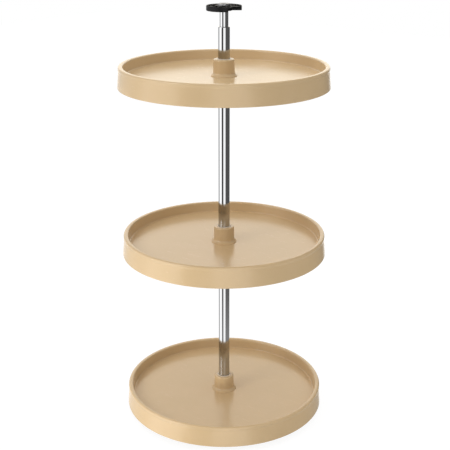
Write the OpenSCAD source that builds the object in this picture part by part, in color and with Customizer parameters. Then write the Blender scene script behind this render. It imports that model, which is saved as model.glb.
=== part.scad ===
// Three full-circle trays that turn on a telescoping pole, for the inside of a corner cabinet.
// Millimetres, +Z up. The origin is on the pole's axis, in the underside of the base plate.

/* [Shelf heights] */
// Underside of the bottom tray's skirt above the cabinet floor
bottom_tray_z = 16; // [16:1:60]
// Underside of the middle tray's skirt above the cabinet floor
middle_tray_z = 389; // [300:1:480]
// Underside of the top tray's skirt above the cabinet floor
top_tray_z = 765; // [660:1:790]

/* [Tray] */
// Outside diameter of a tray at the foot of its skirt
tray_d = 457; // [380:1:720]
// Height of a tray from the foot of its skirt to the top of its rim
tray_h = 45.5; // [36:0.5:70]
// How far the rim stands above the tray's floor
tray_depth = 23.5; // [15:0.5:40]
// Thickness of the moulded skirt, floor and inner wall
tray_wall = 3; // [2:0.1:4]
// How much narrower the skirt's radius would be at the full tray height than at its foot
skirt_draft = 4; // [1:0.1:8]
// Width of the rim, seen from above
rim_w = 10.5; // [8:0.1:14]
// Height of the bead that runs round the outside of the rim
bead_h = 9; // [5:0.5:12]
// How far that bead stands out from the skirt
bead_proud = 1.9; // [0.3:0.1:2.5]
// How far the inner wall leans in between the rim and the floor
inner_draft = 1.9; // [0.5:0.1:4]
// Radius where the inner wall meets the floor
floor_fillet = 4; // [2:0.5:8]

/* [Tray boss] */
// Height of the boss above the tray's floor
boss_h = 36; // [35:0.5:60]
// Wall of the boss round its bushes, at the top
boss_wall = 6.3; // [5.5:0.1:8]
// How much wider the boss's radius is at its foot than at its top
boss_draft = 1.1; // [0.5:0.1:3]
// Rounding of the boss's top edge
boss_edge = 5; // [0.5:0.1:5.2]
// How far the flare at the foot of the boss runs out over the floor
foot_flare_w = 4.8; // [3:0.1:10]
// Height at which that flare leaves the boss
foot_flare_h = 7; // [3:0.1:10]
// Height of the step where the flare ends on the floor
foot_flare_step = 1.3; // [0.5:0.1:2.5]

/* [Tray underside] */
// Number of radial ribs
rib_count = 12; // [6:1:24]
// Thickness of each rib
rib_t = 2.2; // [1.5:0.1:3]
// Depth of the radial ribs and of the ring rib below the floor
rib_h = 10; // [4:0.5:12]
// Mean radius of the ring rib
ring_rib_r = 125; // [80:1:160]
// Depth of the short ring rib round the support collar
hub_ring_h = 5; // [3:0.5:6]
// Gap between the support collar and the ribs round it
hub_ring_gap = 5; // [3:0.5:8]

/* [Pole] */
// Outside diameter of the lower tube
outer_tube_d = 25.4; // [24:0.1:30]
// Wall of the lower tube
outer_tube_wall = 1.2; // [0.8:0.1:1.5]
// Height of the lower tube's mouth above the cabinet floor
outer_tube_top = 891; // [880:1:1000]
// Rounding of the lower tube's rolled mouth
mouth_roll = 2.2; // [1:0.1:3]
// Gap between the rolled mouth and the upper tube
mouth_gap = 0.4; // [0.2:0.1:1]
// Outside diameter of the upper tube
inner_tube_d = 19; // [17:0.1:21]
// Wall of the upper tube
inner_tube_wall = 1.2; // [0.8:0.1:2]
// Height of the upper tube's foot above the cabinet floor
inner_tube_foot = 730; // [650:1:780]
// Length of upper tube that shows between the lower tube and the top bracket
inner_tube_show = 33; // [31:1:120]
// Length of the bush in the mouth of the lower tube
mouth_bush_len = 25; // [12:1:35]

/* [Shelf supports] */
// Wall of the bushes in the trays
bush_wall = 3.22; // [2:0.01:5]
// Length of each tray bush inside its seat
bush_len = 16; // [10:0.5:18]
// How far the upper bush stands above its boss
bush_proud = 0.6; // [0.2:0.1:2]
// Gap between the pole and the boss's bore between the two bushes' seats
bore_relief = 1.3; // [0.5:0.1:2]
// Outside diameter of the support collar
collar_d = 42; // [36:0.5:50]
// Height of the support collar
collar_h = 12; // [10:0.5:14]
// Diameter of the set screw
set_screw_d = 5; // [4:0.5:6]
// How far the set screw's end lies below the collar's surface
set_screw_sunk = 0.5; // [0.2:0.1:2]
// Thickness of the thrust washer
washer_t = 2.5; // [1:0.1:3]
// Outside diameter of the thrust washer
washer_d = 40; // [34:0.5:48]

/* [Base plate] */
// Diameter of the floor flange
base_d = 88; // [80:1:120]
// Thickness of the floor flange
base_t = 5; // [3:0.5:6]
// Height of the socket that the pole stands in
base_socket_h = 18; // [12:0.5:18]
// Wall of that socket at its top
base_socket_wall = 4.8; // [3:0.1:8]
// Floor under the pole inside the socket
base_socket_floor = 2.5; // [1:0.1:4]
// Diameter of the circle that the base plate's screw holes lie on
base_pcd = 66; // [62:0.5:72]
// Diameter of the base plate's screw holes
base_hole_d = 5; // [4:0.1:6]
// Number of screw holes in the base plate
base_hole_count = 4; // [3:1:6]

/* [Top bracket] */
// Diameter of the bracket's round flange
bracket_d = 75; // [68:0.5:100]
// Height of the bracket from the foot of its skirt to the top of the flange
bracket_h = 10.6; // [9:0.1:14]
// Thickness of the bracket's walls, ribs and floors
bracket_wall = 2; // [1.5:0.1:2.5]
// Thickness of the flange where the skirt is left out round a screw
bracket_flange_t = 4; // [3:0.1:5.5]
// How deep the flange is sunk round the screw pads
bracket_recess = 1.5; // [0.5:0.1:2]
// Angle of each of the two sectors without a skirt
open_sector = 80; // [60:1:110]
// Number of pockets in each of the two sectors with a skirt
pocket_count = 3; // [1:1:5]
// Outside diameter of the hub
bracket_hub_d = 33; // [32:0.5:36]
// Distance between the two screw holes
bracket_screw_pitch = 56; // [50:0.5:58]
// Diameter of the bracket's screw holes
bracket_hole_d = 4.4; // [3.5:0.1:5]
// Depth of the hub's socket for the upper tube
bracket_socket = 5; // [3:0.5:5.5]
// Diameter of the pin that the bracket turns on
pivot_d = 12; // [8:0.5:14]
// Outside diameter of the cap that keeps the bracket on its pin
pivot_cap_d = 26.6; // [20:0.1:27]
// How far that cap stands above the flange
pivot_cap_show = 4; // [1:0.1:8]

/* [Twist lock] */
// Distance between the pole's axis and the eccentric stub's axis
lock_offset = 0.6; // [0.4:0.05:0.8]
// Diameter of the eccentric stub
stub_d = 10; // [8:0.5:11]
// Height of the cam ring
cam_h = 14; // [8:0.5:20]
// Height of the split guide ring
guide_h = 8; // [5:0.5:12]
// Diameter of the groove that the guide ring runs in
guide_groove_d = 15; // [13:0.5:15]
// Width of the split in the guide ring
guide_split = 1.5; // [0.5:0.1:3]
// Length of the spindle's plug inside the upper tube
spindle_plug_len = 20; // [12:1:40]
// Length of the top plug inside the upper tube
top_plug_len = 18; // [12:1:40]
// Thickness of the shoulders on the spindle
spindle_shoulder = 3; // [2:0.5:5]
// Diameter of the head that keeps the cam on its stub
retainer_head_d = 15; // [13:0.5:16]
// Thickness of that head
retainer_head_t = 2.4; // [2:0.1:4]
// Diameter of the retainer's shank
retainer_shank_d = 4; // [3:0.5:5]
// Length of the retainer's shank in the stub
retainer_shank_len = 10; // [6:0.5:12]

/* [Clearances] */
// Radial gap between the pole and a bush that turns on it
turn_gap = 0.08; // [0.03:0.01:0.1]
// Radial gap between the pole and a collar or washer that slides on it
slide_gap = 0.05; // [0.02:0.01:0.1]
// End play of the rings on the lock spindle
end_play = 0.1; // [0.05:0.05:0.3]
// Gap between the pivot cap and the bracket, under it and round it
cap_gap = 0.3; // [0.2:0.05:0.6]
// Radial gap between the cam and the lower tube while the lock is open
cam_gap = 0.6; // [0.5:0.05:0.9]

/* [Hidden] */

$fn = 96;
arc_steps = 6;
flare_curve = 1.7;          // how hollow the flare at a boss's foot is; 1 would be straight
overlap = 0.5;              // how far a rib or boss runs into what carries it
cut = 1;                    // how far a cutter runs past the face that it opens

almond = [0.86, 0.75, 0.58];
chrome = [0.84, 0.85, 0.87];
nylon_black = [0.08, 0.08, 0.08];
nylon_white = [0.93, 0.91, 0.86];
zinc = [0.66, 0.66, 0.68];
steel_dark = [0.25, 0.25, 0.27];

// Pole
plug_chamfer = 0.8;
outer_r = outer_tube_d / 2;
outer_bore_r = outer_r - outer_tube_wall;
inner_r = inner_tube_d / 2;
inner_bore_r = inner_r - inner_tube_wall;
mouth_r = inner_r + mouth_gap;
mouth_bush_top = outer_tube_top - outer_tube_wall;

// Tray, measured from the foot of its skirt
floor_z = tray_h - tray_depth;
under_z = floor_z - tray_wall;
bead_foot_z = tray_h - bead_h;
rim_r = skirt_r(bead_foot_z) + bead_proud;
rim_in_r = rim_r - rim_w;
wall_foot_r = rim_in_r - inner_draft;
rim_round_out = rim_w * 0.4;
rim_round_in = rim_w * 0.32;
skirt_edge = tray_wall * 0.2;
bead_blend_h = bead_h * 0.45;
lip_under_z = tray_h - tray_wall;

// Boss and bushes
bush_bore_r = outer_r + turn_gap;
bush_r = bush_bore_r + bush_wall;
boss_top_z = floor_z + boss_h;
boss_r = bush_r + boss_wall;
boss_foot_r = boss_r + boss_draft;
relief_r = outer_r + bore_relief;
bush_chamfer = bush_wall * 0.2;

// Support stack under each tray, measured from the foot of the skirt
collar_r = collar_d / 2;
collar_bore_r = outer_r + slide_gap;
collar_top_z = under_z - washer_t;
collar_foot_z = collar_top_z - collar_h;
set_screw_z = collar_foot_z + collar_h / 2;
set_screw_len = collar_r - outer_r - set_screw_sunk;
hub_ring_r = collar_r + hub_ring_gap;

// Top bracket
hub_z = outer_tube_top + inner_tube_show;
flange_z = hub_z + bracket_h;
flange_r = bracket_d / 2;
hub_r = bracket_hub_d / 2;
pivot_r = pivot_d / 2;
pivot_cap_r = pivot_cap_d / 2;
plug_flange_t = 1;
inner_tube_top = hub_z + bracket_socket - plug_flange_t;
pivot_shelf_z = hub_z + bracket_socket;
pivot_shelf_t = 3;
pivot_sunk = 1.5;
pivot_cap_z = pivot_shelf_z + pivot_shelf_t + cap_gap;
pivot_cap_top_z = flange_z + pivot_cap_show;
pivot_top_z = pivot_cap_top_z - pivot_sunk;

// Twist lock, from the upper tube's foot downwards
groove_h = guide_h + 2 * end_play;
groove_top_z = inner_tube_foot - spindle_shoulder;
groove_foot_z = groove_top_z - groove_h;
stub_top_z = groove_foot_z - spindle_shoulder;
stub_len = cam_h + 2 * end_play;
stub_foot_z = stub_top_z - stub_len;
cam_r = outer_bore_r - cam_gap;

// Radius of the skirt's outside at height z above its foot
function skirt_r(z) = tray_d / 2 - skirt_draft * z / tray_h;

// Points on an arc of radius r about c, from angle a0 to angle a1
function arc(c, r, a0, a1, n = arc_steps) =
    [for (i = [0:n]) let (a = a0 + (a1 - a0) * i / n) c + r * [cos(a), sin(a)]];

// Section of a round sleeve with its four edges chamfered by c
function sleeve_section(r_in, r_out, h, c) = [
    [r_in + c, 0], [r_out - c, 0], [r_out, c], [r_out, h - c],
    [r_out - c, h], [r_in + c, h], [r_in, h - c], [r_in, c]
];

module sleeve(r_in, r_out, h, c = 0.4) {
    rotate_extrude() polygon(sleeve_section(r_in, r_out, h, c));
}

module at_height(z) {
    translate([0, 0, z]) children();
}

// ---- Pole ----

module base_plate() {
    hole_r = base_hole_d / 2;
    countersink_h = base_hole_d * 0.5;
    socket_r = outer_r + base_socket_wall;
    socket_draft = 1.5;
    socket_foot_r = socket_r + socket_draft;
    socket_edge = 1;
    edge = base_t * 0.4;
    gusset_r = base_pcd / 2 - hole_r;
    gusset_t = 3;
    gusset_foot_h = 0.8;
    gusset_top_z = base_socket_h - 2 * socket_edge;
    color(nylon_black) difference() {
        union() {
            rotate_extrude() polygon(concat(
                [[0, 0], [base_d / 2, 0]],
                arc([base_d / 2 - edge, base_t - edge], edge, 0, 90),
                [[socket_foot_r, base_t]],
                [[socket_r, base_socket_h - socket_edge], [socket_r - socket_edge, base_socket_h],
                 [0, base_socket_h]]
            ));
            // gussets stand between the screw holes
            for (i = [0:base_hole_count - 1])
                rotate([90, 0, i * 360 / base_hole_count])
                    translate([0, 0, -gusset_t / 2]) linear_extrude(gusset_t) polygon([
                        [outer_r + overlap, base_t - overlap], [gusset_r, base_t - overlap],
                        [gusset_r, base_t + gusset_foot_h], [socket_r - overlap, gusset_top_z],
                        [outer_r + overlap, gusset_top_z]
                    ]);
        }
        at_height(base_socket_floor) cylinder(r = outer_r, h = base_socket_h);
        for (i = [0:base_hole_count - 1])
            rotate((i + 0.5) * 360 / base_hole_count) translate([base_pcd / 2, 0, 0]) {
                at_height(-cut) cylinder(r = hole_r, h = base_t + 2 * cut);
                at_height(base_t - countersink_h)
                    cylinder(r1 = hole_r, r2 = hole_r + countersink_h + overlap,
                             h = countersink_h + overlap);
            }
    }
}

module outer_tube() {
    roll = min(mouth_roll, outer_r - mouth_r);
    color(chrome) rotate_extrude() polygon(concat(
        [[outer_bore_r, base_socket_floor], [outer_r, base_socket_floor]],
        arc([outer_r - roll, outer_tube_top - roll], roll, 0, 90),
        [[mouth_r, outer_tube_top], [mouth_r, mouth_bush_top], [outer_bore_r, mouth_bush_top]]
    ));
}

module mouth_bush() {
    color(nylon_white) at_height(mouth_bush_top - mouth_bush_len)
        sleeve(inner_r + slide_gap, outer_bore_r, mouth_bush_len, 0.3);
}

module inner_tube() {
    color(chrome) at_height(inner_tube_foot)
        sleeve(inner_bore_r, inner_r, inner_tube_top - inner_tube_foot, 0.2);
}

module top_plug() {
    color(zinc) rotate_extrude() polygon([
        [0, inner_tube_top - top_plug_len], [inner_bore_r - plug_chamfer, inner_tube_top - top_plug_len],
        [inner_bore_r, inner_tube_top - top_plug_len + plug_chamfer], [inner_bore_r, inner_tube_top],
        [inner_r, inner_tube_top], [inner_r, pivot_shelf_z], [pivot_r, pivot_shelf_z],
        [pivot_r, pivot_top_z - plug_chamfer], [pivot_r - plug_chamfer, pivot_top_z], [0, pivot_top_z]
    ]);
}

module pivot_cap() {
    color(zinc) at_height(pivot_cap_z)
        sleeve(pivot_r, pivot_cap_r, pivot_cap_top_z - pivot_cap_z, 0.8);
}

// ---- Twist lock at the foot of the upper tube ----

module lock_spindle() {
    groove_r = guide_groove_d / 2;
    plug_top_z = inner_tube_foot + spindle_plug_len;
    color(zinc) difference() {
        union() {
            rotate_extrude() polygon([
                [0, plug_top_z], [inner_bore_r - plug_chamfer, plug_top_z],
                [inner_bore_r, plug_top_z - plug_chamfer], [inner_bore_r, inner_tube_foot],
                [inner_r, inner_tube_foot], [inner_r, groove_top_z],
                [groove_r, groove_top_z], [groove_r, groove_foot_z],
                [inner_r, groove_foot_z], [inner_r, stub_top_z], [0, stub_top_z]
            ]);
            translate([lock_offset, 0, stub_foot_z])
                cylinder(d = stub_d, h = stub_len + overlap);
        }
        translate([lock_offset, 0, stub_foot_z - cut])
            cylinder(d = retainer_shank_d, h = retainer_shank_len + cut);
    }
}

module cam_retainer() {
    socket_w = retainer_shank_d * 0.75;
    color(steel_dark) translate([lock_offset, 0, stub_foot_z]) difference() {
        rotate_extrude() polygon([
            [0, retainer_shank_len], [retainer_shank_d / 2, retainer_shank_len],
            [retainer_shank_d / 2, 0], [retainer_head_d / 2, 0],
            [retainer_head_d / 2, -retainer_head_t * 0.6],
            [retainer_head_d / 2 - retainer_head_t * 0.4, -retainer_head_t],
            [0, -retainer_head_t]
        ]);
        at_height(-retainer_head_t - cut)
            cylinder(d = socket_w, h = retainer_head_t * 0.7 + cut, $fn = 6);
    }
}

module guide_ring() {
    groove_r = guide_groove_d / 2;
    ring_r = outer_bore_r - slide_gap;
    color(nylon_white) at_height(groove_foot_z + end_play) difference() {
        sleeve(groove_r + slide_gap, ring_r, guide_h);
        translate([0, -guide_split / 2, -cut]) cube([ring_r + cut, guide_split, guide_h + 2 * cut]);
    }
}

module lock_cam() {
    groove_w = cam_h * 0.15;
    groove_depth = 0.6;
    color(nylon_white) at_height(stub_foot_z + end_play) difference() {
        rotate_extrude() polygon([
            [0, 0], [cam_r - groove_depth, 0], [cam_r, groove_depth],
            for (k = [1, 2]) each [
                [cam_r, k * cam_h / 3 - groove_w / 2],
                [cam_r - groove_depth, k * cam_h / 3 - groove_w / 2],
                [cam_r - groove_depth, k * cam_h / 3 + groove_w / 2],
                [cam_r, k * cam_h / 3 + groove_w / 2]
            ],
            [cam_r, cam_h - groove_depth], [cam_r - groove_depth, cam_h], [0, cam_h]
        ]);
        translate([lock_offset, 0, -cut])
            cylinder(r = stub_d / 2 + slide_gap, h = cam_h + 2 * cut);
    }
}

// ---- Top bracket ----

// A block of ring section between radii r0 and r1 that spans the given angle about angle a
module sector(r0, r1, h, a, span) {
    rotate(a - span / 2) rotate_extrude(angle = span) translate([r0, 0]) square([r1 - r0, h]);
}

module top_bracket() {
    screw_x = bracket_screw_pitch / 2;
    hole_r = bracket_hole_d / 2;
    pad_r = hole_r + bracket_wall;
    sink = bracket_hole_d * 0.4;
    rim_in_r = flange_r - bracket_wall;
    rim_edge = bracket_wall * 0.4;
    well_r = pivot_cap_r + 2 * cap_gap;
    plate_foot_z = bracket_h - bracket_flange_t;
    plate_top_z = bracket_h - bracket_recess;
    skirt_sector = 180 - open_sector;
    rib_angle = 2 * asin(bracket_wall / (rim_in_r + hub_r));
    pocket_angle = skirt_sector / pocket_count - rib_angle;
    color(nylon_black) at_height(hub_z) difference() {
        union() {
            difference() {
                rotate_extrude() polygon([
                    [0, 0], [flange_r - rim_edge, 0], [flange_r, rim_edge],
                    [flange_r, bracket_h - rim_edge], [flange_r - rim_edge, bracket_h], [0, bracket_h]
                ]);
                for (side = [0, 180]) {
                    // the sectors with the screws: flange only, sunk a little inside its rim
                    translate([0, 0, -cut])
                        sector(hub_r, flange_r + cut, plate_foot_z + cut, side, open_sector);
                    translate([0, 0, plate_top_z])
                        sector(hub_r, rim_in_r, bracket_recess + cut, side, open_sector);
                    // the sectors between them: a skirt, with pockets cored out from above
                    for (i = [0:pocket_count - 1])
                        translate([0, 0, bracket_wall])
                            sector(hub_r, rim_in_r, bracket_h, side + 90
                                   + (i - (pocket_count - 1) / 2) * (pocket_angle + rib_angle),
                                   pocket_angle);
                }
            }
            for (side = [-1, 1]) translate([side * screw_x, 0, plate_foot_z])
                cylinder(r = pad_r, h = bracket_flange_t);
        }
        // socket for the upper tube, pivot hole, and well for the cap
        at_height(-cut) cylinder(r = inner_r + turn_gap, h = bracket_socket + cut);
        cylinder(r = pivot_r + slide_gap, h = bracket_h + cut);
        at_height(bracket_socket + pivot_shelf_t) cylinder(r = well_r, h = bracket_h);
        for (side = [-1, 1]) translate([side * screw_x, 0, 0]) {
            cylinder(r = hole_r, h = bracket_h + cut);
            at_height(plate_foot_z - overlap)
                cylinder(r1 = hole_r + sink + overlap, r2 = hole_r, h = sink + overlap);
        }
    }
}

// ---- Trays ----

module tray() {
    rib_top_z = under_z + tray_wall / 2;
    rib_foot_z = under_z - rib_h;
    rib_end_r = skirt_r(rib_top_z) - tray_wall * 0.3;
    color(almond) {
        rotate_extrude($fn = 180) polygon(concat(
            // bore, with a seat for a bush at each end
            [[bush_r, under_z], [bush_r, under_z + bush_len], [relief_r, under_z + bush_len],
             [relief_r, boss_top_z - bush_len], [bush_r, boss_top_z - bush_len], [bush_r, boss_top_z]],
            // boss and the flare round its foot
            arc([boss_r - boss_edge, boss_top_z - boss_edge], boss_edge, 90, 0),
            [for (i = [0:arc_steps]) let (t = i / arc_steps)
                [boss_foot_r + foot_flare_w * pow(t, flare_curve),
                 floor_z + foot_flare_h - (foot_flare_h - foot_flare_step) * t]],
            [[boss_foot_r + foot_flare_w, floor_z]],
            // floor, inner wall and rim
            arc([wall_foot_r - floor_fillet, floor_z + floor_fillet], floor_fillet, -90, 0),
            arc([rim_in_r + rim_round_in, tray_h - rim_round_in], rim_round_in, 180, 90),
            arc([rim_r - rim_round_out, tray_h - rim_round_out], rim_round_out, 90, 0),
            [for (i = [1:arc_steps]) let (t = i / arc_steps)
                [rim_r - bead_proud * (1 - cos(180 * t)) / 2, bead_foot_z + bead_blend_h * (1 - t)]],
            // skirt, outside and inside
            arc([skirt_r(0) - skirt_edge, skirt_edge], skirt_edge, 0, -90, 3),
            [[skirt_r(0) - tray_wall, 0], [skirt_r(lip_under_z) - tray_wall, lip_under_z],
             [rim_in_r + tray_wall, lip_under_z]],
            // outside of the inner wall, and the floor's underside
            arc([wall_foot_r - floor_fillet, floor_z + floor_fillet], floor_fillet + tray_wall, 0, -90)
        ));
        for (i = [0:rib_count - 1]) rotate((i + 0.5) * 360 / rib_count)
            translate([hub_ring_r + rib_t / 2, -rib_t / 2, rib_foot_z])
                cube([rib_end_r - hub_ring_r - rib_t / 2, rib_t, rib_top_z - rib_foot_z]);
        ring_rib(ring_rib_r - rib_t / 2, rib_h);
        ring_rib(hub_ring_r, hub_ring_h);
    }
}

// A ring rib of inside radius r that hangs h below the floor
module ring_rib(r, h) {
    at_height(under_z - h) difference() {
        cylinder(r = r + rib_t, h = h + tray_wall / 2);
        at_height(-cut) cylinder(r = r, h = h + tray_wall + 2 * cut);
    }
}

module upper_bush() {
    color(nylon_white) at_height(boss_top_z - bush_len)
        sleeve(bush_bore_r, bush_r, bush_len + bush_proud, bush_chamfer);
}

module lower_bush() {
    color(nylon_white) at_height(under_z) sleeve(bush_bore_r, bush_r, bush_len, bush_chamfer);
}

module thrust_washer() {
    color(nylon_white) at_height(collar_top_z)
        sleeve(collar_bore_r, washer_d / 2, washer_t, 0.3);
}

module support_collar() {
    color(zinc) difference() {
        at_height(collar_foot_z) sleeve(collar_bore_r, collar_r, collar_h, 1);
        at_height(set_screw_z) rotate([0, 90, 0]) cylinder(d = set_screw_d, h = collar_r + cut);
    }
}

module set_screw() {
    key_w = set_screw_d * 0.55;
    key_depth = set_screw_len * 0.4;
    tip = 0.8;
    color(steel_dark) at_height(set_screw_z) rotate([0, 90, 0]) translate([0, 0, outer_r])
        difference() {
            rotate_extrude() polygon([
                [0, 0], [set_screw_d / 2 - tip, 0], [set_screw_d / 2, tip],
                [set_screw_d / 2, set_screw_len - 0.3], [set_screw_d / 2 - 0.3, set_screw_len],
                [0, set_screw_len]
            ]);
            at_height(set_screw_len - key_depth) cylinder(d = key_w, h = key_depth + cut, $fn = 6);
        }
}

// ---- Assembly ----

base_plate();
outer_tube();
mouth_bush();
inner_tube();
lock_spindle();
cam_retainer();
top_plug();
pivot_cap();
guide_ring();
lock_cam();
top_bracket();
at_height(bottom_tray_z) tray();  // bottom_tray
at_height(bottom_tray_z) upper_bush();  // bottom_upper_bush
at_height(bottom_tray_z) lower_bush();  // bottom_lower_bush
at_height(bottom_tray_z) thrust_washer();  // bottom_thrust_washer
at_height(bottom_tray_z) support_collar();  // bottom_support_collar
at_height(bottom_tray_z) set_screw();  // bottom_set_screw
at_height(middle_tray_z) tray();  // middle_tray
at_height(middle_tray_z) upper_bush();  // middle_upper_bush
at_height(middle_tray_z) lower_bush();  // middle_lower_bush
at_height(middle_tray_z) thrust_washer();  // middle_thrust_washer
at_height(middle_tray_z) support_collar();  // middle_support_collar
at_height(middle_tray_z) set_screw();  // middle_set_screw
at_height(top_tray_z) tray();  // top_tray
at_height(top_tray_z) upper_bush();  // top_upper_bush
at_height(top_tray_z) lower_bush();  // top_lower_bush
at_height(top_tray_z) thrust_washer();  // top_thrust_washer
at_height(top_tray_z) support_collar();  // top_support_collar
at_height(top_tray_z) set_screw();  // top_set_screw
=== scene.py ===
"""A three-tier revolving shelf unit: moulded trays on a telescoping chrome pole.

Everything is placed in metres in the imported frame: +Z up the pole, and the origin in the middle of the
base plate's underside. The sizes of its pieces are written in millimetres.
"""
import math

import bpy
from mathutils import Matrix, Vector


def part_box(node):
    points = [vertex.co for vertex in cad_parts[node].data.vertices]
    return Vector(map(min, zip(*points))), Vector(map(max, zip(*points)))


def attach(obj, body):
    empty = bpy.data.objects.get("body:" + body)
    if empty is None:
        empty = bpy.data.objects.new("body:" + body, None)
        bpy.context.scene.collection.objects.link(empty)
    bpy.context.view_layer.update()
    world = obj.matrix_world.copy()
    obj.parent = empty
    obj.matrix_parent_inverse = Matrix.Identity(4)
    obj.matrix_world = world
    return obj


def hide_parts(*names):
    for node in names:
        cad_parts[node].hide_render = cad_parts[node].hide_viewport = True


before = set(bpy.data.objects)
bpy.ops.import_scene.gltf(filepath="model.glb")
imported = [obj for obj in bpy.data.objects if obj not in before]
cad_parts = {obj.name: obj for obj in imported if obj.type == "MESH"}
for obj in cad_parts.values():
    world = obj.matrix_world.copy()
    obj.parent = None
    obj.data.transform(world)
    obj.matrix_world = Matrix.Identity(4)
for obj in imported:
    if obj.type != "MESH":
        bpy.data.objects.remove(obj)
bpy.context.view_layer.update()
scene = bpy.context.scene
scene.view_settings.view_transform = "Standard"

# ---------------------------------------------------------------------------
# Camera: 2.03 m from the pole and 0.2 m above the unit's top, looking down 19 degrees. It stands
# between -Y and +X, where one of the bracket's screw pads is, and is turned a little to the right, so
# that the pole falls a pixel left of the frame's middle.
CAMERA_DISTANCE = 2.0343
CAMERA_HEIGHT = 1.1502
CAMERA_ROUND = math.radians(38)
CAMERA_PITCH = math.radians(19.026)
CAMERA_YAW = math.radians(-0.06)
CAMERA_SIGHT = 50
FOCAL_PX = 954.0
FRAME_PX = 450
SENSOR = 36.0


def from_camera(right, near, up):
    """A point as the camera sees it: to the right of the pole, nearer than it, and above the floor."""
    across, along = math.cos(CAMERA_ROUND), math.sin(CAMERA_ROUND)
    return (right * across + near * along, right * along - near * across, up)


bpy.ops.object.camera_add(
    location=from_camera(0, CAMERA_DISTANCE, CAMERA_HEIGHT),
    rotation=(math.pi / 2 - CAMERA_PITCH, 0, CAMERA_ROUND + CAMERA_YAW),
)
camera = bpy.context.object
camera.name = "camera"
camera.data.sensor_width = SENSOR
camera.data.lens = FOCAL_PX * SENSOR / FRAME_PX
camera.data.clip_end = CAMERA_SIGHT
scene.camera = camera


# ---------------------------------------------------------------------------
# Studio: an even white room. Seen straight, it is plain white. Gloss and chrome see a large window on
# the left, a white wall behind the camera and behind the unit, and two dark flags between them, which
# draw the dark lines down a chrome tube. Low down, the white floor washes the flags out.
class Socket:
    """A shader socket that takes part in Python expressions: each operator adds a Math node."""

    def __init__(self, shader, socket):
        self.shader, self.socket = shader, socket

    def _math(self, operation, a, b=None):
        return self.shader.add("ShaderNodeMath", {"operation": operation}, {0: a, 1: b})

    def __add__(self, other):
        return self._math("ADD", self, other)

    __radd__ = __add__

    def __sub__(self, other):
        return self._math("SUBTRACT", self, other)

    def __rsub__(self, other):
        return self._math("SUBTRACT", other, self)

    def __mul__(self, other):
        return self._math("MULTIPLY", self, other)

    __rmul__ = __mul__

    def __truediv__(self, other):
        return self._math("DIVIDE", self, other)

    def __rtruediv__(self, other):
        return self._math("DIVIDE", other, self)

    def __abs__(self):
        return self._math("ABSOLUTE", self)

    def ramp(self, start, stop, low=0.0, high=1.0):
        """Goes smoothly from low to high while this value goes from start to stop."""
        return self.shader.add(
            "ShaderNodeMapRange",
            {"interpolation_type": "SMOOTHSTEP"},
            {0: self, 1: start, 2: stop, 3: low, 4: high},
        )


class Shader:
    """The node tree of a material or a world, emptied and built anew."""

    def __init__(self, owner):
        owner.use_nodes = True
        self.tree = owner.node_tree
        self.tree.nodes.clear()

    def add(self, kind, settings=None, inputs=None, out=0):
        """Adds a node: its settings, then the values or links of its sockets. Gives one output."""
        node = self.tree.nodes.new(kind)
        for name, value in (settings or {}).items():
            if name == "stops":
                ramp = node.color_ramp
                while len(ramp.elements) < len(value):
                    ramp.elements.new(0.5)
                for element, (place, colour) in zip(ramp.elements, value):
                    element.position = place
                    element.color = (*colour, 1)
            else:
                setattr(node, name, value)
        for name, value in (inputs or {}).items():
            if isinstance(value, Socket):
                self.tree.links.new(value.socket, node.inputs[name])
            elif value is not None:
                node.inputs[name].default_value = value
        return Socket(self, node.outputs[out])

    def pick(self, wrapped, out):
        """Another output of the same node."""
        return Socket(self, wrapped.socket.node.outputs[out])

    def output(self, surface, kind="ShaderNodeOutputMaterial"):
        """Ends the tree with this shader as its surface."""
        end = self.tree.nodes.new(kind)
        self.tree.links.new(surface.socket, end.inputs["Surface"])


# How bright dull surfaces see the room, low down and overhead. FROM and TO are the sines of the
# angles above the horizon between which one turns into the other.
DULL_LOW, DULL_HIGH, HIGH_FROM, HIGH_TO = 0.484, 0.757, 0.26, 0.64
# How bright gloss sees it, by degrees round from the camera's side to the right
ROOM = [
    (-180, 1.30), (-160, 1.30), (-150, 0.80), (-99, 0.80), (-92, 1.95), (-50, 1.95), (-45, 0.08),
    (-16, 0.08), (-10, 1.75), (26, 1.75), (32, 0.14), (152, 0.14), (164, 1.85), (180, 1.85),
]
ROOM_SCALE = 2.0
CEILING, CEILING_FROM, CEILING_TO = 0.35, 0.55, 0.8
WASH, WASH_FROM, WASH_TO = 0.55, 0.30, 0.52
# Above the horizon, gloss sees the wall behind the unit in an even, slightly warm white
BEHIND, BEHIND_FROM, BEHIND_TO, HORIZON = 1.66, math.radians(150), math.radians(162), 0.05
WHITE, WARM_WHITE = (1, 1, 1, 1), (1.053, 1.0, 0.898, 1)
world = bpy.data.worlds.new("studio")
scene.world = world
sh = Shader(world)
where = sh.add("ShaderNodeTexCoord", out="Generated")
parts = sh.add("ShaderNodeSeparateXYZ", inputs={0: where})
height = sh.pick(parts, 2)
heading = sh.add(
    "ShaderNodeMath", {"operation": "ARCTAN2"}, {0: parts, 1: sh.pick(parts, 1) * -1}
)
turn = sh.add(
    "ShaderNodeMath", {"operation": "WRAP"}, {0: heading - CAMERA_ROUND, 1: math.pi, 2: -math.pi}
)
room = sh.add(
    "ShaderNodeValToRGB",
    {"stops": [((degrees + 180) / 360, (bright / ROOM_SCALE,) * 3) for degrees, bright in ROOM]},
    {0: turn / (2 * math.pi) + 0.5},
)
room_level = room * ROOM_SCALE
washed = (height * -1).ramp(WASH_FROM, WASH_TO, 0.0, WASH)
wall_level = sh.add("ShaderNodeMath", {"operation": "MAXIMUM"}, {0: room_level, 1: washed})
overhead = height.ramp(CEILING_FROM, CEILING_TO)
gloss_level = wall_level * (1 - overhead) + overhead * CEILING
path = sh.add("ShaderNodeLightPath", out="Is Camera Ray")
glossy = sh.pick(path, "Is Glossy Ray")
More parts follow.
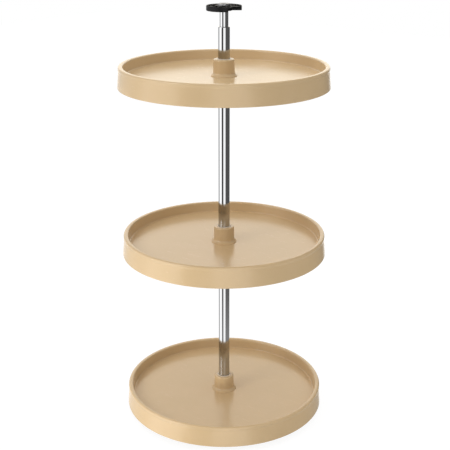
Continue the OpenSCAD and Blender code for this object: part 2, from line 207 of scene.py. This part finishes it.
behind = glossy * abs(turn).ramp(BEHIND_FROM, BEHIND_TO) * height.ramp(-HORIZON, HORIZON)
dull_level = height.ramp(HIGH_FROM, HIGH_TO, DULL_LOW, DULL_HIGH)
brightness = behind * BEHIND + (glossy - behind) * gloss_level + (1 - glossy) * dull_level
colour = sh.add("ShaderNodeMix", {"data_type": "RGBA"}, {0: behind, 6: WHITE, 7: WARM_WHITE}, out=2)
sh.output(
    sh.add("ShaderNodeBackground", inputs={0: colour, 1: path + (1 - path) * brightness}),
    "ShaderNodeOutputWorld",
)

# ---------------------------------------------------------------------------
# Floor: a white sheet that the unit stands on. The camera sees it as white as the studio, but for the
# unit's soft shadow. Gloss looks through it at the studio, and a camera below it sees the undersides.
FLOOR_SIZE, FLOOR_GAP = 12.0, 0.0002
FLOOR_WHITE = (0.82, 0.82, 0.82, 1)
FLOOR_GLOW = 1.12
GLOW_SHARE = 0.82
bpy.ops.mesh.primitive_grid_add(
    x_subdivisions=2, y_subdivisions=2, size=FLOOR_SIZE, location=(0, 0, -FLOOR_GAP)
)
floor = bpy.context.object
floor.name = "floor"
floor_paint = bpy.data.materials.new("floor_white")
sh = Shader(floor_paint)
lit = sh.add("ShaderNodeBsdfDiffuse", inputs={0: FLOOR_WHITE})
glow = sh.add("ShaderNodeEmission", inputs={0: WHITE, 1: FLOOR_GLOW})
clear = sh.add("ShaderNodeBsdfTransparent")
ray = sh.add("ShaderNodeLightPath", out="Is Camera Ray")
beneath = sh.add("ShaderNodeNewGeometry", out="Backfacing")
unseen = sh.add(
    "ShaderNodeMath", {"operation": "MAXIMUM"}, {0: sh.pick(ray, "Is Glossy Ray"), 1: beneath}
)
sheet = sh.add("ShaderNodeMixShader", inputs={0: ray * GLOW_SHARE, 1: lit, 2: glow})
sh.output(sh.add("ShaderNodeMixShader", inputs={0: unseen, 1: sheet, 2: clear}))
floor.data.materials.append(floor_paint)


# ---------------------------------------------------------------------------
# Lamps: a large soft box high on the left, a weaker one overhead, and a low white card on each side
# that throws light up at the trays' outsides and under the rims.
def soft_box(name, place, aim, width, height, power, mirrored=False):
    """A flat lamp at one place as the camera sees it, aimed at another. Gloss may mirror it or not."""
    place, aim = from_camera(*place), from_camera(*aim)
    bpy.ops.object.light_add(type="AREA", location=place)
    lamp = bpy.context.object
    lamp.name = name
    lamp.data.shape = "RECTANGLE"
    lamp.data.size = width
    lamp.data.size_y = height
    lamp.data.energy = power
    lamp.visible_glossy = mirrored
    lamp.rotation_euler = (Vector(aim) - Vector(place)).to_track_quat("-Z", "Y").to_euler()


soft_box("key_soft_box", (-2.9, 2.0, 2.4), (0, 0, 0.45), 1.6, 1.6, 32.5, mirrored=True)
soft_box("top_soft_box", (0, -0.2, 2.8), (0, 0, 0.8), 1.4, 1.4, 7)
soft_box("left_card", (-0.85, 0.55, 0.05), (0, 0, 0.05), 0.75, 0.09, 3.1)
soft_box("right_card", (0.9, 1.3, 0.05), (0, 0, 0.05), 0.9, 0.09, 2.1)


# ---------------------------------------------------------------------------
# Base plate: a round flange of black glass-filled nylon, moulded in one with a gusseted socket for
# the pole. Four countersunk wood screws would fasten it to the cabinet's floor.
MM = 0.001
# Where a finish's patches begin and end, how much of its gloss follows them and not the grain, and how
# strong the grain is
DRIFT_FROM, DRIFT_TO, PATCH_SHARE, GRAIN_STRENGTH = 0.35, 0.65, 0.6, 0.6
# Points nearer than MEETING are one point, and faces within FLAT of one plane are one face
MEETING, FLAT = 1e-6, math.radians(0.5)
# Edges sharper than EASED_FROM are rounded, and those sharper than SHARP don't shade smoothly
EASED_FROM, SHARP = math.radians(40), math.radians(35)


def tint(sh, factor, low, high):
    """A colour between two, by a factor."""
    return sh.add(
        "ShaderNodeMix", {"data_type": "RGBA"}, {0: factor, 6: (*low, 1), 7: (*high, 1)}, out=2
    )


def finish(
    name, low, high, roughness, metallic=0.0,
    patch=40.0, grain=1500.0, depth=0.01, stretch=(1, 1, 1), gloss=0.5,
):
    """A finish whose colour and gloss drift in soft patches, under a fine grain of a depth in mm."""
    material = bpy.data.materials.new(name)
    sh = Shader(material)
    place = sh.add("ShaderNodeTexCoord", out="Object")
    polished = sh.add("ShaderNodeMapping", inputs={"Vector": place, "Scale": stretch})
    patches = sh.add("ShaderNodeTexNoise", inputs={"Vector": polished, "Scale": patch, "Detail": 4.0})
    fine = sh.add("ShaderNodeTexNoise", inputs={"Vector": polished, "Scale": grain, "Detail": 3.0})
    drift = patches.ramp(DRIFT_FROM, DRIFT_TO)
    smooth, dull = roughness
    spread = dull - smooth
    sh.output(sh.add("ShaderNodeBsdfPrincipled", inputs={
        "Base Color": tint(sh, drift, low, high),
        "Metallic": metallic,
        "Specular IOR Level": gloss,
        "Roughness": drift * spread * PATCH_SHARE + fine * spread * (1 - PATCH_SHARE) + smooth,
        "Normal": sh.add(
            "ShaderNodeBump",
            inputs={"Strength": GRAIN_STRENGTH, "Distance": depth * MM, "Height": fine},
        ),
    }))
    return material


def only(piece):
    """Selects this piece alone and makes it the active one."""
    bpy.ops.object.select_all(action="DESELECT")
    piece.select_set(True)
    bpy.context.view_layer.objects.active = piece


def even_shading(piece):
    """Lets broad faces keep their own slant next to narrow rounded edges, so that gloss stays true."""
    bpy.context.view_layer.objects.active = piece
    weighted = piece.modifiers.new("even_shading", "WEIGHTED_NORMAL")
    weighted.keep_sharp = True
    bpy.ops.object.modifier_apply(modifier=weighted.name)


def eased(name, node, width):
    """A copy of a CAD solid whose sharp edges are rounded by the given width in mm."""
    piece = bpy.data.objects.new(name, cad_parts[node].data.copy())
    scene.collection.objects.link(piece)
    only(piece)
    bpy.ops.object.mode_set(mode="EDIT")
    bpy.ops.mesh.select_all(action="SELECT")
    bpy.ops.mesh.remove_doubles(threshold=MEETING)
    bpy.ops.mesh.dissolve_limited(angle_limit=FLAT)
    bpy.ops.object.mode_set(mode="OBJECT")
    bevel = piece.modifiers.new("eased_edges", "BEVEL")
    bevel.width = width * MM
    bevel.segments = 2
    bevel.limit_method = "ANGLE"
    bevel.angle_limit = EASED_FROM
    bpy.ops.object.modifier_apply(modifier=bevel.name)
    bpy.ops.object.shade_smooth_by_angle(angle=SHARP)
    even_shading(piece)
    return piece


def fit(piece, material, body, slot, *nodes):
    """Gives a finished piece its material and its body, and hides the nodes it stands for; its slot
    argument is not used.
    """
    piece.data.materials.clear()
    piece.data.materials.append(material)
    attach(piece, body)
    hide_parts(*nodes)


black_nylon = finish(
    "black_nylon", (0.005, 0.005, 0.006), (0.009, 0.009, 0.010), (0.38, 0.52), depth=0.03, gloss=0.16
)
flange = eased("floor_flange", "base_plate", 0.4)
fit(flange, black_nylon, "pole_post", "black_nylon", "base_plate")


# ---------------------------------------------------------------------------
# Lower tube: 1 in steel tube, chromed and polished lengthwise, with its mouth rolled in over a nylon
# bush that centres the thinner tube. It is pressed into the base plate's socket.
def cover(material, *nodes):
    """Gives CAD solids that keep their own shape a material."""
    for node in nodes:
        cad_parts[node].data.materials.clear()
        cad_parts[node].data.materials.append(material)


def rounded(corners, steps=6):
    """A section's corners as (radius, height, rounding), with each rounded corner made an arc."""
    points = []
    for i, (x, z, r) in enumerate(corners):
        if not r:
            points.append((x, z))
            continue
        here = Vector((x, z))
        back = (Vector(corners[i - 1][:2]) - here).normalized()
        ahead = (Vector(corners[(i + 1) % len(corners)][:2]) - here).normalized()
        half = back.angle(ahead) / 2
        reach = r / math.tan(half)
        middle = here + (back + ahead).normalized() * (r / math.sin(half))
        start, stop = here + back * reach - middle, here + ahead * reach - middle
        sweep = start.angle_signed(stop)
        for k in range(steps + 1):
            a = -sweep * k / steps
            points.append((
                middle.x + start.x * math.cos(a) - start.y * math.sin(a),
                middle.y + start.x * math.sin(a) + start.y * math.cos(a),
            ))
    return points


def drawn(name, points):
    """Draws a closed outline by extruding a vertex from point to point."""
    bpy.ops.object.select_all(action="DESELECT")
    bpy.ops.mesh.primitive_plane_add(size=MM, location=(0, 0, 0))
    piece = bpy.context.object
    piece.name = name
    bpy.ops.object.mode_set(mode="EDIT")
    bpy.ops.mesh.merge(type="CENTER")
    bpy.ops.transform.translate(value=points[0])
    for here, there in zip(points, points[1:] + points[:1]):
        step = tuple(b - a for a, b in zip(here, there))
        bpy.ops.mesh.extrude_region_move(TRANSFORM_OT_translate={"value": step})
    bpy.ops.mesh.select_all(action="SELECT")
    return piece


def closed(piece):
    """Merges what meets, turns the faces outwards and leaves edit mode."""
    bpy.ops.mesh.select_all(action="SELECT")
    bpy.ops.mesh.remove_doubles(threshold=MEETING)
    bpy.ops.mesh.normals_make_consistent(inside=False)
    bpy.ops.object.mode_set(mode="OBJECT")
    bpy.ops.object.shade_smooth_by_angle(angle=SHARP)


def turned(name, section, height=0.0, steps=192):
    """Spins a closed section of (radius, height) points in millimetres round the pole's axis."""
    piece = drawn(name, [(r * MM, 0, z * MM + height) for r, z in section])
    bpy.ops.mesh.spin(steps=steps, angle=2 * math.pi, center=(0, 0, 0), axis=(0, 0, 1))
    closed(piece)
    even_shading(piece)
    return piece


def span(node):
    """Lowest and highest point of a CAD solid, in millimetres."""
    low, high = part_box(node)
    return low[2] / MM, high[2] / MM


chrome = finish(
    "chrome", (0.515, 0.520, 0.527), (0.530, 0.534, 0.540), (0.04, 0.075), 1.0,
    patch=60, grain=700, depth=0.0001, stretch=(1, 1, 0.02),
)
natural_nylon = finish(
    "natural_nylon", (0.74, 0.62, 0.48), (0.79, 0.68, 0.54), (0.42, 0.52), depth=0.01, gloss=0.3
)
TUBE_R, TUBE_WALL = 12.7, 1.2
MOUTH_R, MOUTH_ROLL = 9.9, 2.2
tube_foot, tube_top = span("outer_tube")
lower_tube = turned("lower_tube", rounded([
    (TUBE_R - TUBE_WALL, tube_foot, 0.2), (TUBE_R, tube_foot, 0.3), (TUBE_R, tube_top, MOUTH_ROLL),
    (MOUTH_R, tube_top, 0), (MOUTH_R, tube_top - TUBE_WALL, 0),
    (TUBE_R - TUBE_WALL, tube_top - TUBE_WALL, 0),
], 8))
fit(lower_tube, chrome, "pole_post", "chrome", "outer_tube")
cover(natural_nylon, "mouth_bush")

# ---------------------------------------------------------------------------
# Twist lock, inside the lower tube: a zinc-plated spindle with an eccentric stub, a split guide ring
# and a grooved cam of nylon, and a black steel screw whose wide head holds the cam on its stub.
zinc_plate = finish(
    "zinc_plate", (0.47, 0.48, 0.50), (0.56, 0.56, 0.55), (0.24, 0.40), 1.0,
    patch=90, grain=900, depth=0.004,
)
black_steel = finish(
    "black_steel", (0.045, 0.046, 0.050), (0.075, 0.074, 0.074), (0.30, 0.42), 1.0,
    patch=300, depth=0.004,
)
cover(zinc_plate, "lock_spindle")
cover(natural_nylon, "guide_ring", "lock_cam")
cover(black_steel, "cam_retainer")

# ---------------------------------------------------------------------------
# Upper tube: 3/4 in chromed tube that slides in the lower one. A zinc plug in its top carries the pin
# that the bracket turns on, and a zinc cap pressed on the pin keeps the bracket from lifting off.
UPPER_R, UPPER_WALL = 9.5, 1.2
upper_foot, upper_top = span("inner_tube")
upper_tube = turned("upper_tube", rounded([
    (UPPER_R - UPPER_WALL, upper_foot, 0.2), (UPPER_R, upper_foot, 0.3),
    (UPPER_R, upper_top, 0.3), (UPPER_R - UPPER_WALL, upper_top, 0.2),
]))
fit(upper_tube, chrome, "upper_pole", "chrome", "inner_tube")
cover(zinc_plate, "top_plug")
PIN_R, CAP_R, CAP_EDGE = 6.0, 13.3, 1.4
cap_foot, cap_top = span("pivot_cap")
cap = turned("pin_cap", rounded([
    (PIN_R, cap_foot, 0.3), (CAP_R, cap_foot, 0.4), (CAP_R, cap_top, CAP_EDGE), (PIN_R, cap_top, 0.8),
]), steps=96)
dull_zinc = finish(
    "dull_zinc", (0.34, 0.34, 0.345), (0.42, 0.42, 0.42), (0.42, 0.55), 0.8, patch=150, depth=0.01
)
fit(cap, dull_zinc, "upper_pole", "zinc", "pivot_cap")

# ---------------------------------------------------------------------------
# Top bracket: a round flange of black nylon, cored out to even walls, with a sunk screw pad on either
# side. It turns on the pin and is screwed up into the cabinet's top.
bracket = eased("round_bracket", "top_bracket", 0.35)
fit(bracket, black_nylon, "top_bracket", "black_nylon", "top_bracket")

# ---------------------------------------------------------------------------
# Supports, under each tray: a turned collar of zinc-plated steel that a set screw clamps on the pole,
# and a nylon washer on it that the tray turns on.
LEVELS = ("bottom", "middle", "top")
for level in LEVELS:
    collar = eased(f"{level}_clamp_collar", f"{level}_support_collar", 0.3)
    fit(collar, zinc_plate, f"{level}_support", "zinc", f"{level}_support_collar")
    cover(natural_nylon, f"{level}_thrust_washer")
    cover(black_steel, f"{level}_set_screw")


# ---------------------------------------------------------------------------
# Trays: each is one glossy injection moulding, with a hollow rim, a skirt, a boss in the middle and
# ribs under the floor. One is modelled, and copied to each of the three heights.
def srgb(r, g, b):
    """A colour as screens count it, from 0 to 255, in the shaders' linear values."""
    return tuple(
        c / 12.92 if c <= 0.04045 else ((c + 0.055) / 1.055) ** 2.4 for c in (r / 255, g / 255, b / 255)
    )


def skirt_r(z):
    """Outer radius of the drafted skirt at a height in the tray."""
    return SKIRT_R - SKIRT_DRAFT * z / TRAY_H


def blend(start, stop, steps, power=None):
    """Points from start to stop: an S curve, or a hollow curve of the given power."""
    points = []
    for k in range(steps + 1):
        t = k / steps
        across = t**power if power else (1 - math.cos(math.pi * t)) / 2
        radius = start[0] + (stop[0] - start[0]) * across
        points.append((radius, start[1] + (stop[1] - start[1]) * t, 0))
    return points


# _R is a radius, _W a width, _T a thickness, _H a height, and _Z a height above the skirt's foot
SKIRT_R, SKIRT_DRAFT, TRAY_H = 228.5, 4.0, 45.5
TRAY_WALL, FLOOR_Z, FLOOR_FILLET = 3.0, 22.0, 3.0
BEAD_FOOT, BEAD_PROUD, BEAD_BLEND = 36.0, 0.7, 5.0
RIM_W, INNER_DRAFT, LIP_UNDER = 10.3, 1.9, 42.5
RIM_INNER_EDGE, RIM_OUTER_EDGE = RIM_W * 0.38, RIM_W * 0.4
BUSH_R, RELIEF_R, BUSH_SEAT = 16.0, 14.0, 16.0
BOSS_R, BOSS_FOOT_R, BOSS_TOP, BOSS_EDGE = 22.3, 23.4, 58.0, 3.0
FLARE_W, FLARE_H, FLARE_STEP, FLARE_CURVE, FLARE_STEP_LEAN = 4.8, 7.0, 1.3, 1.7, 0.2
UNDER_Z = FLOOR_Z - TRAY_WALL
RIB_T, RIB_H, RIB_COUNT, RIB_FILLET, RIB_LEAN, RIB_EDGE = 2.2, 10.0, 12, 1.2, 0.15, 0.5
RING_R, HUB_RING_R, HUB_RING_H, HUB_RING_LEAN = 125.0, 26.0, 5.0, 0.1
# The ribs begin inside the floor and end inside the skirt, so that they join both
RIB_SUNK, RIB_SHORT = 0.1, TRAY_WALL * 0.3
rim_r = skirt_r(BEAD_FOOT) + BEAD_PROUD
rim_in_r = rim_r - RIM_W
wall_foot_r = rim_in_r - INNER_DRAFT
flare_r = BOSS_FOOT_R + FLARE_W
rib_half = RIB_T / 2
tray = turned("tray", rounded([
    # bore, with a seat for a bush at each end
    (BUSH_R, UNDER_Z, 0.4), (BUSH_R, UNDER_Z + BUSH_SEAT, 0), (RELIEF_R, UNDER_Z + BUSH_SEAT, 0),
    (RELIEF_R, BOSS_TOP - BUSH_SEAT, 0), (BUSH_R, BOSS_TOP - BUSH_SEAT, 0), (BUSH_R, BOSS_TOP, 0.5),
    (BOSS_R, BOSS_TOP, BOSS_EDGE),
    # flare at the boss's foot
    *blend((BOSS_FOOT_R, FLOOR_Z + FLARE_H), (flare_r, FLOOR_Z + FLARE_STEP), 10, FLARE_CURVE),
    (flare_r + FLARE_STEP_LEAN, FLOOR_Z, 0),
    # floor, inner wall, rim and bead
    (wall_foot_r, FLOOR_Z, FLOOR_FILLET),
    (rim_in_r, TRAY_H, RIM_INNER_EDGE), (rim_r, TRAY_H, RIM_OUTER_EDGE),
    *blend((rim_r, BEAD_FOOT + BEAD_BLEND), (skirt_r(BEAD_FOOT), BEAD_FOOT), 10),
    # skirt, outside and inside
    (skirt_r(0), 0, 0.6), (skirt_r(0) - TRAY_WALL, 0, 0.6),
    (skirt_r(LIP_UNDER) - TRAY_WALL, LIP_UNDER, 1.0), (rim_in_r + TRAY_WALL, LIP_UNDER, 1.0),
    (wall_foot_r + TRAY_WALL, UNDER_Z, FLOOR_FILLET + TRAY_WALL),
    # ring rib half way out, and the short one round the support collar
    (RING_R + rib_half, UNDER_Z, RIB_FILLET),
    (RING_R + rib_half - RIB_LEAN, UNDER_Z - RIB_H, RIB_EDGE),
    (RING_R - rib_half + RIB_LEAN, UNDER_Z - RIB_H, RIB_EDGE),
    (RING_R - rib_half, UNDER_Z, RIB_FILLET),
    (HUB_RING_R + RIB_T, UNDER_Z, RIB_FILLET),
    (HUB_RING_R + RIB_T - HUB_RING_LEAN, UNDER_Z - HUB_RING_H, RIB_EDGE),
    (HUB_RING_R + HUB_RING_LEAN, UNDER_Z - HUB_RING_H, RIB_EDGE),
    (HUB_RING_R, UNDER_Z, RIB_FILLET),
], 8), steps=256)

# Its twelve radial ribs: one is drawn across, drawn out from the hub to the skirt and copied round
rib_start = HUB_RING_R + rib_half
rib_end = skirt_r(UNDER_Z) - RIB_SHORT
rib_root = UNDER_Z + RIB_SUNK
rib_wide = rib_half + RIB_FILLET * 1.5
ribs = drawn("ribs", [(rib_start * MM, y * MM, z * MM) for y, z in rounded([
    (-rib_wide, rib_root + 1, 0), (-rib_wide, rib_root, 0), (-rib_half, rib_root, RIB_FILLET),
    (-rib_half + RIB_LEAN, UNDER_Z - RIB_H, RIB_EDGE), (rib_half - RIB_LEAN, UNDER_Z - RIB_H, RIB_EDGE),
    (rib_half, rib_root, RIB_FILLET), (rib_wide, rib_root, 0), (rib_wide, rib_root + 1, 0),
])])
bpy.ops.mesh.remove_doubles(threshold=MEETING)
bpy.ops.mesh.edge_face_add()
bpy.ops.mesh.extrude_region_move(TRANSFORM_OT_translate={"value": ((rib_end - rib_start) * MM, 0, 0)})
bpy.ops.mesh.select_all(action="SELECT")
bpy.ops.transform.rotate(value=math.pi / RIB_COUNT, orient_axis="Z", center_override=(0, 0, 0))
for k in range(RIB_COUNT - 1):
    bpy.ops.mesh.duplicate()
    bpy.ops.transform.rotate(value=2 * math.pi / RIB_COUNT, orient_axis="Z", center_override=(0, 0, 0))
closed(ribs)
only(tray)
ribbed = tray.modifiers.new("ribs", "BOOLEAN")
ribbed.operation = "UNION"
ribbed.solver = "EXACT"
ribbed.object = ribs
bpy.ops.object.modifier_apply(modifier=ribbed.name)
bpy.data.objects.remove(ribs)
bpy.ops.object.shade_smooth_by_angle(angle=SHARP)
even_shading(tray)

# Almond polymer: an even, slightly wavy gloss with a very fine grain, and a few faint scuffs
ALMOND, PALE_ALMOND = srgb(213, 184.5, 141.5), srgb(215, 186.5, 144.5)
ALMOND_GLOSS, CLOUD_MATT, GRAIN_MATT, SCUFF_MATT = 0.19, 0.03, 0.05, 0.08
WAVE_DEPTH, GRAIN_DEPTH, RELIEF = 0.012 * MM, 0.003 * MM, 0.5
SCUFF_TURN, SCUFF_SCALE, SCUFF_FROM, SCUFF_TO = 0.7, (30, 900, 300), 0.68, 0.74
almond_polymer = bpy.data.materials.new("almond_polymer")
sh = Shader(almond_polymer)
place = sh.add("ShaderNodeTexCoord", out="Object")
cloud = sh.add("ShaderNodeTexNoise", inputs={"Vector": place, "Scale": 16.0, "Detail": 3.0})
peel = sh.add("ShaderNodeTexNoise", inputs={"Vector": place, "Scale": 170.0, "Detail": 2.0})
grain = sh.add("ShaderNodeTexNoise", inputs={"Vector": place, "Scale": 1400.0, "Detail": 2.0})
combed = sh.add(
    "ShaderNodeMapping",
    inputs={"Vector": place, "Rotation": (0, 0, SCUFF_TURN), "Scale": SCUFF_SCALE},
)
streaks = sh.add("ShaderNodeTexNoise", inputs={"Vector": combed, "Scale": 1.0, "Detail": 2.0})
scuffs = streaks.ramp(SCUFF_FROM, SCUFF_TO)
drift = cloud.ramp(0.3, 0.7)
waves = sh.add("ShaderNodeBump", inputs={"Strength": RELIEF, "Distance": WAVE_DEPTH, "Height": peel})
sh.output(sh.add("ShaderNodeBsdfPrincipled", inputs={
    "Base Color": tint(sh, drift, ALMOND, PALE_ALMOND),
    "Roughness": drift * CLOUD_MATT + grain * GRAIN_MATT + scuffs * SCUFF_MATT + ALMOND_GLOSS,
    "Normal": sh.add(
        "ShaderNodeBump",
        inputs={"Strength": RELIEF, "Distance": GRAIN_DEPTH, "Height": grain, "Normal": waves},
    ),
}))
for level in LEVELS:
    only(tray)
    bpy.ops.object.duplicate()
    copy = bpy.context.object
    copy.name = f"{level}_moulding"
    bpy.ops.object.mode_set(mode="EDIT")
    bpy.ops.mesh.select_all(action="SELECT")
    bpy.ops.transform.translate(value=(0, 0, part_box(f"{level}_tray")[0][2]))
    bpy.ops.object.mode_set(mode="OBJECT")
    fit(copy, almond_polymer, f"{level}_shelf", "tray_polymer", f"{level}_tray")
bpy.data.objects.remove(tray)

# ---------------------------------------------------------------------------
# Bushes: two to a tray, pressed into the boss, of natural nylon. The upper one's edge shows as a pale
# ring round the pole.
BUSH_BORE, BUSH_EDGE = 12.78, 0.8
for level in LEVELS:
    for end in ("upper", "lower"):
        node = f"{level}_{end}_bush"
        low, high = span(node)
        bush = turned(f"{level}_{end}_bearing", rounded([
            (BUSH_BORE, low, 0.5), (BUSH_R, low, 0.5),
            (BUSH_R, high, BUSH_EDGE), (BUSH_BORE, high, BUSH_EDGE),
        ], 4), steps=128)
        fit(bush, natural_nylon, f"{level}_shelf", "white_nylon", node)
